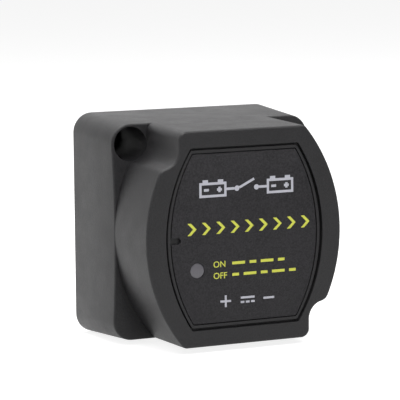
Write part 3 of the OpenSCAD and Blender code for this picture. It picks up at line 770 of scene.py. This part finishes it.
    def open_up(self, case: Bench) -> None:
        """Cuts the wells with their holes, the cable ways and the panel's recess."""
        m = self.mould
        deep, top = m.base_depth - self.well_floor + OVER, m.depth + OVER
        for x, y in self.wells:
            case.cut(Bench.rod("well", m.well_r, (x, y, self.well_floor), deep, FINE))
            case.cut(Bench.rod("hole", self.hole_r, (x, y, -OVER), self.well_floor + 2 * OVER, SMALL))
        for x, width, way_deep in self.cable_ways:
            case.cut(*self.slot(x, width, way_deep))
        step = m.bowed(m.panel_margin, m.panel_half, m.panel_r)
        seat = m.bowed(m.panel_margin + m.band, m.panel_half - m.band, m.panel_r)
        case.cut(Bench.loft("step", [(m.depth - m.panel_step, step), (top, step)]))
        case.cut(self.groove())
        case.cut(Bench.loft("seat", [(self.panel_seat, seat), (top, seat)]))
        foot = self.room_end - OVER
        case.cut(Bench.rod("lamp_hole", self.lens_hole_r, (*m.lens, foot), top - foot, SMALL))

    def build(self) -> bpy.types.Object:
        """Builds and dresses the whole case."""
        case = self.block().weld(self.front())
        case.cut(self.recess(), self.chamber(), self.room())
        self.stiffen(case)
        self.open_up(case)
        for x, y in self.board_bosses:
            case.weld(Bench.rod("stand", self.stand_r, (x, y, self.stand_z), self.stand_h, SMALL))
            foot, deep = self.stand_z - OVER, self.room_end - self.stand_z + OVER
            case.cut(Bench.rod("pilot", self.stand_pilot_r, (x, y, foot), deep, TINY))
        return case.finish("case", "case_plastic", Finishes.CASE, "housing")


@dataclass
class Panel:
    """The panel set into the face, and its lamp."""

    mould: Mould
    seat: float = 48.6
    thick: float = 0.9
    clear: float = 0.3
    edge: float = 0.12
    edge_share: float = 0.3
    pry_w: float = 1.9
    pry_deep: float = 3.0
    lens_r: float = 2.2
    lens_clear: float = 0.08
    lens_foot: float = 46.7
    flange_lip: float = 1.0
    flange_t: float = 0.7
    dome_h: float = 0.2
    dome_in: float = 0.5

    @property
    def face(self) -> float:
        """Depth of the panel's front."""
        return self.seat + self.thick

    def plate(self) -> bpy.types.Object:
        """Makes the plate with its small notch and its lamp hole."""
        m = self.mould
        inset, half_h = m.panel_margin + m.band + self.clear, m.panel_half - m.band - self.clear

        def ring(more: float) -> Outline:
            """Gives the plate's outline, moved in a little."""
            return m.bowed(inset + more, half_h - more, m.panel_r)

        worn = self.edge * self.edge_share
        rings = [(self.seat, ring(0)), (self.face - self.edge, ring(0))]
        rings += [(self.face - worn, ring(worn)), (self.face, ring(self.edge))]
        plate = Bench.loft("face_panel", rings)
        foot, top, pry_r = self.seat - OVER, self.face + OVER, self.pry_w / 2
        left = inset - m.bow_half
        end = left + self.pry_deep - pry_r
        plate.cut(Bench.block("pry", (left - 2 * OVER, -pry_r, foot), (end, pry_r, top)))
        plate.cut(Bench.rod("pry", pry_r, (end, 0, foot), top - foot, TINY))
        plate.cut(Bench.rod("lamp_hole", self.lens_r + self.lens_clear, (*m.lens, foot), top - foot, ROUND))
        return plate.finish("case", "panel_plastic", Finishes.PANEL, "face_plate")

    def lamp(self) -> bpy.types.Object:
        """Makes the light pipe with a flange and a slightly domed end."""
        lens, shoulder = self.mould.lens, self.face - self.dome_h
        foot = (*lens, self.lens_foot)
        lamp = Bench.rod("lamp", self.lens_r + self.flange_lip, foot, self.flange_t, ROUND)
        lamp.weld(Bench.rod("shank", self.lens_r, foot, shoulder - self.lens_foot, ROUND))
        tip = self.lens_r - self.dome_in
        lamp.gather(Bench.rod("dome", self.lens_r, (*lens, shoulder), self.dome_h, ROUND, tip=tip))
        return lamp.finish("case", "smoke_lens", Finishes.LENS, "status_lens", smooth_deg=60)

    def build(self) -> None:
        """Builds the panel and its lamp."""
        self.plate()
        self.lamp()


@dataclass
class Print:
    """The generic signs printed on the panel, all in millimetres from the panel's middle."""

    face: float
    ink: float = 0.02
    cap_share: float = 0.72
    bolder: float = 0.012
    signs_x: float = 0.7
    signs_y: float = 14.4
    battery_x: float = 11.0
    battery_w: float = 8.8
    battery_h: float = 4.4
    line: float = 0.75
    pole_h: float = 0.75
    pole_share: float = 0.28
    pole_half_share: float = 0.1
    sign_share: float = 0.24
    sign_w: float = 1.6
    contacts: tuple[float, float] = (-2.5, 3.9)
    contact_y: float = 14.42
    contact_r: float = 0.8
    contact_sides: int = 24
    wires: tuple[Point, ...] = ((-5.9, -3.3), (4.7, 7.3))
    wire_y: tuple[float, float] = (14.05, 14.8)
    blade: tuple[Point, ...] = ((-1.85, 14.95), (-1.5, 14.3), (3.3, 16.6), (3.0, 17.25))
    foot_y: float = -18.9
    plus_x: float = -6.4
    plus_w: float = 3.5
    plus_line: float = 0.65
    minus: tuple[float, float] = (6.0, 9.6)
    minus_half: float = 0.33
    direct: tuple[float, float] = (-1.5, 3.1)
    direct_y: tuple[float, float] = (0.35, 0.98)
    direct_dash: float = 1.2
    direct_pitch: float = 1.7
    chevrons: int = 9
    chevron_x: float = -18.6
    chevron_y: float = 3.1
    chevron_pitch: float = 4.65
    chevron_half: float = 1.8
    chevron_line: float = 1.1
    word_x: float = -10.4
    word_h: float = 1.85
    words: tuple[tuple[str, float], ...] = (("ON", -8.6), ("OFF", -12.0))
    dash_x: float = -4.2
    dash_gap: float = 1.5
    dash_half: float = 0.42
    dashes: tuple[tuple[float, Sequence[float]], ...] = (
        (-7.7, (4.2, 2.2, 4.2, 2.2)),
        (-11.1, (2.2, 4.2, 2.2, 4.2, 2.2)),
    )

    def bar(self, x0: float, x1: float, y0: float, y1: float) -> Bench:
        """Makes one printed bar."""
        return Bench.block("bar", (x0, y0, self.face - self.ink / 2), (x1, y1, self.face + self.ink))

    def stroke(self, points: Sequence[Point]) -> Bench:
        """Makes one printed shape from its corners."""
        return Bench.loft("stroke", [(z, list(points)) for z in (self.face - self.ink / 2, self.face + self.ink)])

    def word(self, text: str, x: float, y: float) -> Bench:
        """Makes a short generic word.

        Args:
            text: What it says.
            x: Left end.
            y: Foot of the letters.

        Returns:
            The word as a thin solid.
        """
        Bench.clear()
        bpy.ops.object.text_add(location=(0, 0, 0))
        made = bpy.context.object
        made.data.body = text
        made.data.size = self.word_h / self.cap_share
        made.data.extrude = self.ink
        made.data.offset = self.word_h * self.bolder
        bpy.ops.object.convert(target="MESH")
        word = Bench(bpy.context.object, "word")
        word.made.data.transform(Matrix.Translation((x, y, self.face)))
        return word

    def plus(self, x: float, y: float, size: float, line: float) -> Bench:
        """Makes a plus sign as one shape."""
        a, b = line / 2, size / 2
        half = [(b, -a), (b, a), (a, a), (a, b), (-a, b), (-a, a)]
        return self.stroke([(x + px, y + py) for px, py in turned(half)])

    def battery(self, x: float) -> list[Bench]:
        """Makes a battery sign: an outlined box with two poles, a minus and a plus."""
        y, line, w = self.signs_y, self.line, self.battery_w
        half_w, half_h = w / 2, self.battery_h / 2
        in_w, in_h = half_w - line, half_h - line
        low, high = self.face - self.ink / 2 - OVER, self.face + self.ink + OVER
        window = Bench.block("window", (x - in_w, y - in_h, low), (x + in_w, y + in_h, high))
        parts = [self.bar(x - half_w, x + half_w, y - half_h, y + half_h).cut(window)]
        pole_half = w * self.pole_half_share
        for mid in (x - w * self.pole_share, x + w * self.pole_share):
            parts.append(self.bar(mid - pole_half, mid + pole_half, y + half_h, y + half_h + self.pole_h))
        left, reach = x - w * self.sign_share, self.sign_w / 2
        parts.append(self.bar(left - reach, left + reach, y - line / 2, y + line / 2))
        parts.append(self.plus(x + w * self.sign_share, y, self.sign_w, line))
        return parts

    def silver(self) -> bpy.types.Object:
        """Prints two batteries with a switch between them, and the terminals' signs."""
        parts: list[Bench] = []
        for s in (-1, 1):
            parts += self.battery(self.signs_x + s * self.battery_x)
        parts += [self.bar(*wire, *self.wire_y) for wire in self.wires]
        sides = self.contact_sides
        for x in self.contacts:
            parts.append(self.stroke(arc((x, self.contact_y), self.contact_r, 0, 360 - 360 / sides, sides - 1)))
        parts.append(self.stroke(self.blade))
        y, (low, high) = self.foot_y, self.direct_y
        parts.append(self.plus(self.plus_x, y, self.plus_w, self.plus_line))
        parts.append(self.bar(*self.minus, y - self.minus_half, y + self.minus_half))
        parts.append(self.bar(*self.direct, y + low, y + high))
        for k in range(3):
            x = self.direct[0] + self.direct_pitch * k
            parts.append(self.bar(x, x + self.direct_dash, y - high, y - low))
        return parts[0].gather(*parts[1:]).finish("case", "panel_plastic", Finishes.SILVER_INK)

    def yellow(self) -> bpy.types.Object:
        """Prints the row of chevrons and the two lines beside the lamp."""
        parts: list[Bench] = []
        y, h, t = self.chevron_y, self.chevron_half, self.chevron_line
        for k in range(self.chevrons):
            x = self.chevron_x + self.chevron_pitch * k
            right = [(x + t, y - h), (x + t + h, y), (x + t, y + h)]
            parts.append(self.stroke([(x, y - h), *right, (x, y + h), (x + h, y)]))
        parts += [self.word(text, self.word_x, foot) for text, foot in self.words]
        for row, marks in self.dashes:
            x = self.dash_x
            for length in marks:
                parts.append(self.bar(x, x + length, row - self.dash_half, row + self.dash_half))
                x += length + self.dash_gap
        return parts[0].gather(*parts[1:]).finish("case", "panel_plastic", Finishes.YELLOW_INK)

    def build(self) -> None:
        """Prints both colours."""
        self.silver().name = "print_silver"
        self.yellow().name = "print_yellow"


@dataclass
class Works:
    """The pieces whose CAD shape is right, and the finish of each."""

    finishes: dict[str, Finishes] = field(
        default_factory=lambda: {
            "terminal_base": Finishes.BASE,
            "base_seal": Finishes.RUBBER,
            "base_screws": Finishes.ZINC,
            "terminal_washer_left": Finishes.ZINC,
            "terminal_washer_right": Finishes.ZINC,
            "spring_washer_left": Finishes.ZINC,
            "spring_washer_right": Finishes.ZINC,
            "terminal_nut_left": Finishes.ZINC,
            "terminal_nut_right": Finishes.ZINC,
            "fixed_contact_left": Finishes.SILVER,
            "fixed_contact_right": Finishes.SILVER,
            "sense_strip_left": Finishes.BRASS,
            "sense_strip_right": Finishes.BRASS,
            "earth_tab": Finishes.BRASS,
            "circuit_board": Finishes.MASK,
            "control_chip": Finishes.EPOXY,
            "smoothing_capacitor": Finishes.SLEEVE,
            "driver_transistor": Finishes.EPOXY,
            "flyback_diode": Finishes.EPOXY,
            "resistors": Finishes.LACQUER,
            "status_led": Finishes.RESIN,
            "board_screws": Finishes.ZINC,
            "coil_bobbin": Finishes.NYLON,
            "coil_winding": Finishes.ENAMEL,
            "coil_pins": Finishes.ZINC,
            "yoke_frame": Finishes.STEEL,
            "yoke_plate": Finishes.STEEL,
            "fixed_core": Finishes.STEEL,
            "plunger": Finishes.STEEL,
            "push_rod": Finishes.ZINC,
            "rod_clip": Finishes.ZINC,
            "contact_bridge": Finishes.COPPER,
            "bridge_contacts": Finishes.SILVER,
        }
    )

    def build(self) -> None:
        """Dresses each node."""
        for name, finish in self.finishes.items():
            finish.value.dress(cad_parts[name])
            LOG.info("%s: %s", name, finish.value.name)


@dataclass
class Studs:
    """The two brass terminal studs, threaded for their nuts."""

    mid: Point = (12.5, 4.0)
    radius: float = 3.0
    root: float = 2.62
    tip_z: float = 1.5
    tip_round: float = 0.6
    pitch: float = 1.0
    turns: int = 9
    thread: tuple[float, float, float] = (0.1, 0.5, 0.6)
    head_z: float = 18.0
    head_t: float = 2.0
    head_w: float = 10.0

    def shaft(self, x: float) -> Bench:
        """Makes the threaded shaft.

        Args:
            x: Where its middle stands.

        Returns:
            The shaft, from its tip into the head.
        """
        start = self.tip_z + self.tip_round
        steps = [(self.tip_z, self.radius - self.tip_round), (start, self.radius)]
        for turn in range(self.turns):
            low = start + self.pitch * turn
            crest_end, root_start, root_end = (low + self.pitch * share for share in self.thread)
            steps += [(crest_end, self.radius), (root_start, self.root)]
            steps += [(root_end, self.root), (low + self.pitch, self.radius)]
        steps.append((self.head_z + self.head_t / 2, self.radius))
        last = 360 - 360 / SMALL
        return Bench.loft("shaft", [(z, arc((x, self.mid[1]), r, 0, last, SMALL - 1)) for z, r in steps])

    def build(self) -> None:
        """Makes both studs with their square heads."""
        for side, word in ((-1, "left"), (1, "right")):
            x, y, half = side * self.mid[0], self.mid[1], self.head_w / 2
            low, high = (x - half, y - half, self.head_z), (x + half, y + half, self.head_z + self.head_t)
            stud = Bench.block(f"threaded_stud_{word}", low, high)
            stud.weld(self.shaft(x))
            stud.finish("case", "brass_bright", Finishes.BRASS, f"terminal_stud_{word}", smooth_deg=30)


@dataclass
class Springs:
    """The two coil springs, made from their solids at one length."""

    axis_z: float = 4.0 * MM
    joint: str = "plunger_slide"
    overtravel: float = 0.624 * MM
    merge: float = 0.001 * MM
    smooth_deg: float = 50.0

    def coil(self, node: str) -> bpy.types.Object:
        """Makes a spring from its solid, with its loose faces merged.

        Args:
            node: The solid's name.

        Returns:
            The spring, which no body carries yet.
        """
        Bench.clear()
        made = bpy.data.objects.new(f"{node}_wire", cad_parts[node].data.copy())
        bpy.context.collection.objects.link(made)
        made.matrix_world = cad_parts[node].matrix_world.copy()
        spring = Bench(made, f"{node}_wire").settle()
        bpy.ops.object.mode_set(mode="EDIT")
        bpy.ops.mesh.select_all(action="SELECT")
        bpy.ops.mesh.remove_doubles(threshold=self.merge)
        bpy.ops.object.mode_set(mode="OBJECT")
        bpy.ops.object.shade_smooth_by_angle(angle=math.radians(self.smooth_deg))
        Finishes.ZINC.value.dress(spring.made)
        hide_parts(node)
        LOG.info("%s: %d faces", spring.made.name, len(spring.made.data.polygons))
        return spring.made

    def build(self) -> None:
        """Makes both springs and ties the contact spring to the plunger's body."""
        back = self.coil("return_spring")
        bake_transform(back)
        press = self.coil("contact_spring")
        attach(press, "plunger_group")
        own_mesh(press)


@dataclass(frozen=True)
class Lamp:
    """One soft lamp that looks at the relay: its place and size in metres, its power in watts."""

    name: str
    place: tuple[float, float, float]
    size: tuple[float, float]
    power: float


@dataclass
class Studio:
    """Camera, floor and soft lamps."""

    azimuth: float = -25.14
    elevation: float = 7.49
    roll: float = -0.49
    distance: float = 0.70
    target: tuple[float, float, float] = (-0.003, -0.025, 0.00812)
    focal_px: float = 2310.0
    picture_px: float = 400.0
    sensor: float = 36.0
    near: float = 0.01
    floor_z: float = -0.034
    floor_size: float = 6.0
    floor_grey: float = 0.45
    dim: float = 0.15
    glow: float = 0.84
    front_dim: float = 0.3
    way_reach: tuple[float, float] = (-0.45, 0.1)
    floor_reach: tuple[float, float] = (-0.4, 0.0)
    lamps: tuple[Lamp, ...] = (
        Lamp("top lamp", (-0.1, 0.1, 0.7), (0.8, 0.7), 7.0),
        Lamp("left lamp", (-0.75, 0.12, 0.1), (0.9, 1.3), 2.4),
        Lamp("front lamp", (0.0, -0.75, 0.8), (0.5, 0.5), 9.0),
    )

    def camera(self) -> None:
        """Stands the camera where the picture was taken from."""
        a, e = math.radians(self.azimuth), math.radians(self.elevation)
        back = Vector((math.sin(a) * math.cos(e), -math.cos(a) * math.cos(e), math.sin(e)))
        data = bpy.data.cameras.new("camera")
        data.sensor_width = self.sensor
        data.lens = self.focal_px * self.sensor / self.picture_px
        data.clip_start = self.near
        made = bpy.data.objects.new("camera", data)
        bpy.context.collection.objects.link(made)
        turn = back.to_track_quat("Z", "Y") @ Matrix.Rotation(math.radians(self.roll), 3, "Z").to_quaternion()
        made.rotation_euler = turn.to_euler()
        made.location = Vector(self.target) + back * self.distance
        bpy.context.scene.camera = made

    def hang(self, lamp: Lamp) -> None:
        """Hangs one lamp."""
        data = bpy.data.lights.new(lamp.name, "AREA")
        data.shape = "RECTANGLE"
        data.size, data.size_y = lamp.size
        data.energy = lamp.power
        made = bpy.data.objects.new(lamp.name, data)
        bpy.context.collection.objects.link(made)
        made.location = lamp.place
        made.rotation_euler = (Vector(lamp.place) - Vector(self.target)).to_track_quat("Z", "Y").to_euler()

    def seen(self, sheet: NodeSheet, place: Signal, reach: tuple[float, float]) -> Signal:
        """Gives how bright the white surround is for the ray that meets it.

        Args:
            sheet: The node sheet that it is added to.
            place: Direction or place on the surround.
            reach: Its y where the dim front ends and where the full white begins.

        Returns:
            1 for the camera and for clear bodies, and less in front for glossy faces.
        """
        camera, clear, glossy = (
            sheet.node("ShaderNodeLightPath", output=f"Is {kind} Ray") for kind in ("Camera", "Transmission", "Glossy")
        )
        y = sheet.node("ShaderNodeSeparateXYZ", values={0: place}, output="Y")
        ends = {"Value": y, "From Min": reach[0], "From Max": reach[1], "To Min": self.front_dim}
        white = sheet.node("ShaderNodeMapRange", values=ends)
        return camera.most(clear).most(glossy * white)

    def world(self) -> None:
        """Gives the white surround."""
        world = bpy.data.worlds.new("surround")
        bpy.context.scene.world = world
        world.use_nodes = True
        sheet = NodeSheet(world.node_tree)
        way = sheet.node("ShaderNodeTexCoord", output="Generated")
        strength = self.seen(sheet, way, self.way_reach) * (1 - self.dim) + self.dim
        white = sheet.node("ShaderNodeBackground", values={"Color": (1.0, 1.0, 1.0), "Strength": strength})
        sheet.finish(white, "ShaderNodeOutputWorld")

    def floor(self) -> None:
        """Lays the pale floor."""
        Bench.clear()
        bpy.ops.mesh.primitive_plane_add(size=self.floor_size, location=(0, 0, self.floor_z))
        made = bpy.context.object
        made.name = "floor"
        paint = bpy.data.materials.new("pale floor")
        paint.use_nodes = True
        sheet = NodeSheet(paint.node_tree)
        matt = sheet.node("ShaderNodeBsdfDiffuse", values={"Color": (self.floor_grey,) * 3})
        strength = self.seen(sheet, sheet.place(), self.floor_reach) * self.glow
        glow = sheet.node("ShaderNodeEmission", values={"Color": (1.0, 1.0, 1.0), "Strength": strength})
        sheet.finish(sheet.node("ShaderNodeAddShader", values={0: matt, 1: glow}))
        made.data.materials.append(paint)

    def build(self) -> None:
        """Sets the whole picture up."""
        bpy.context.scene.view_settings.view_transform = "Standard"
        self.camera()
        self.world()
        self.floor()
        for lamp in self.lamps:
            self.hang(lamp)


def main() -> None:
    """Builds the relay and its picture."""
    logging.basicConfig(level=logging.INFO, format="%(name)s %(message)s")
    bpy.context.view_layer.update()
    mould = Mould()
    Studio().build()
    Housing(mould).build()
    panel = Panel(mould)
    panel.build()
    Print(panel.face).build()
    Works().build()
    Studs().build()
    Springs().build()


if __name__ == "__main__":
    main()
